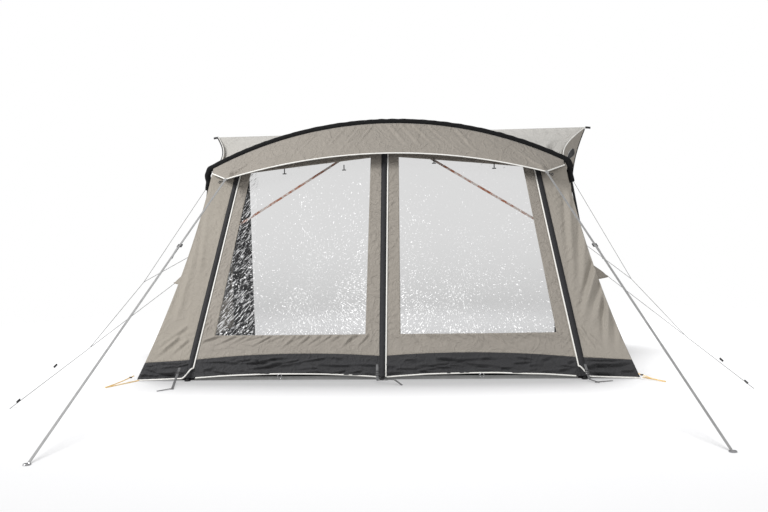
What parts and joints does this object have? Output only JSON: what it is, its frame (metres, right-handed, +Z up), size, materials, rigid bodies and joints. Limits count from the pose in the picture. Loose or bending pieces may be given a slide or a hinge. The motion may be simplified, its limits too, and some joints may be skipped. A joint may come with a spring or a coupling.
{
  "type": "poled caravan awning",
  "caption": "Caravan awning with an arched front beam, clear film front windows, splayed wings, a hooded peak, guys and a beaded rail edge.",
  "frame": {"origin": "centre of the underside of the centre front pole's foot, on the ground", "axes": "+X to the right seen from outside the front, +Y back towards the vehicle, +Z up"},
  "size_m": [5.4596, 5.257, 2.2645],
  "materials": {
    "taupe_cloth": "coated woven polyester, matt",
    "grey_cloth": "coated woven polyester, matt",
    "charcoal_cloth": "coated woven polyester, matt",
    "black_cloth": "coated woven polyester, slight sheen",
    "clear_film": "clear soft film, glossy",
    "tinted_film": "tinted soft film, glossy",
    "steel_pole": "black powder coat",
    "grey_webbing": "woven webbing",
    "yellow_elastic": "woven elastic",
    "orange_band": "woven webbing",
    "guy_line": "braided cord",
    "white_trim": "welted piping, satin",
    "ring_steel": "bright wire",
    "black_plastic": "moulded, satin"
  },
  "bodies": {
    "root": {"beam_leg_left": "steel_pole", "beam_leg_right": "steel_pole", "corner_elastic_left": "yellow_elastic", "corner_elastic_right": "yellow_elastic", "draught_skirt": "black_cloth", "front_beam": "black_cloth", "front_peak": "taupe_cloth", "front_skirt_left": "charcoal_cloth", "front_skirt_right": "charcoal_cloth", "front_wall_left": "taupe_cloth", "front_wall_right": "taupe_cloth", "front_window_left": "clear_film", "front_window_right": "clear_film", "ground_strap": "grey_webbing", "patch_line_left": "guy_line", "patch_line_right": "guy_line", "pole_foot_centre": "black_plastic", "pole_foot_left": "black_plastic", "pole_foot_right": "black_plastic", "pole_sleeve_centre": "charcoal_cloth", "pole_sleeve_left": "charcoal_cloth", "pole_sleeve_right": "charcoal_cloth", "rail_bead": "white_trim", "rail_tab_left": "black_cloth", "rail_tab_right": "black_cloth", "rear_flap_left": "charcoal_cloth", "rear_flap_right": "charcoal_cloth", "roof_left": "grey_cloth", "roof_right": "grey_cloth", "side_line_left": "guy_line", "side_line_right": "guy_line", "side_skirt_left": "charcoal_cloth", "side_skirt_right": "charcoal_cloth", "side_wall_left": "taupe_cloth", "side_wall_right": "taupe_cloth", "side_window_left": "tinted_film", "side_window_right": "tinted_film", "storm_ring_left": "ring_steel", "storm_ring_right": "ring_steel", "storm_strap_left": "grey_webbing", "storm_strap_right": "grey_webbing", "tension_band_left": "orange_band", "tension_band_right": "orange_band", "vent_hood_left": "taupe_cloth", "vent_hood_right": "taupe_cloth", "vent_line_left": "guy_line", "vent_line_right": "guy_line", "wing_skirt_left": "charcoal_cloth", "wing_skirt_right": "charcoal_cloth", "wing_wall_left": "taupe_cloth", "wing_wall_right": "taupe_cloth"}
  },
  "joints": []
}
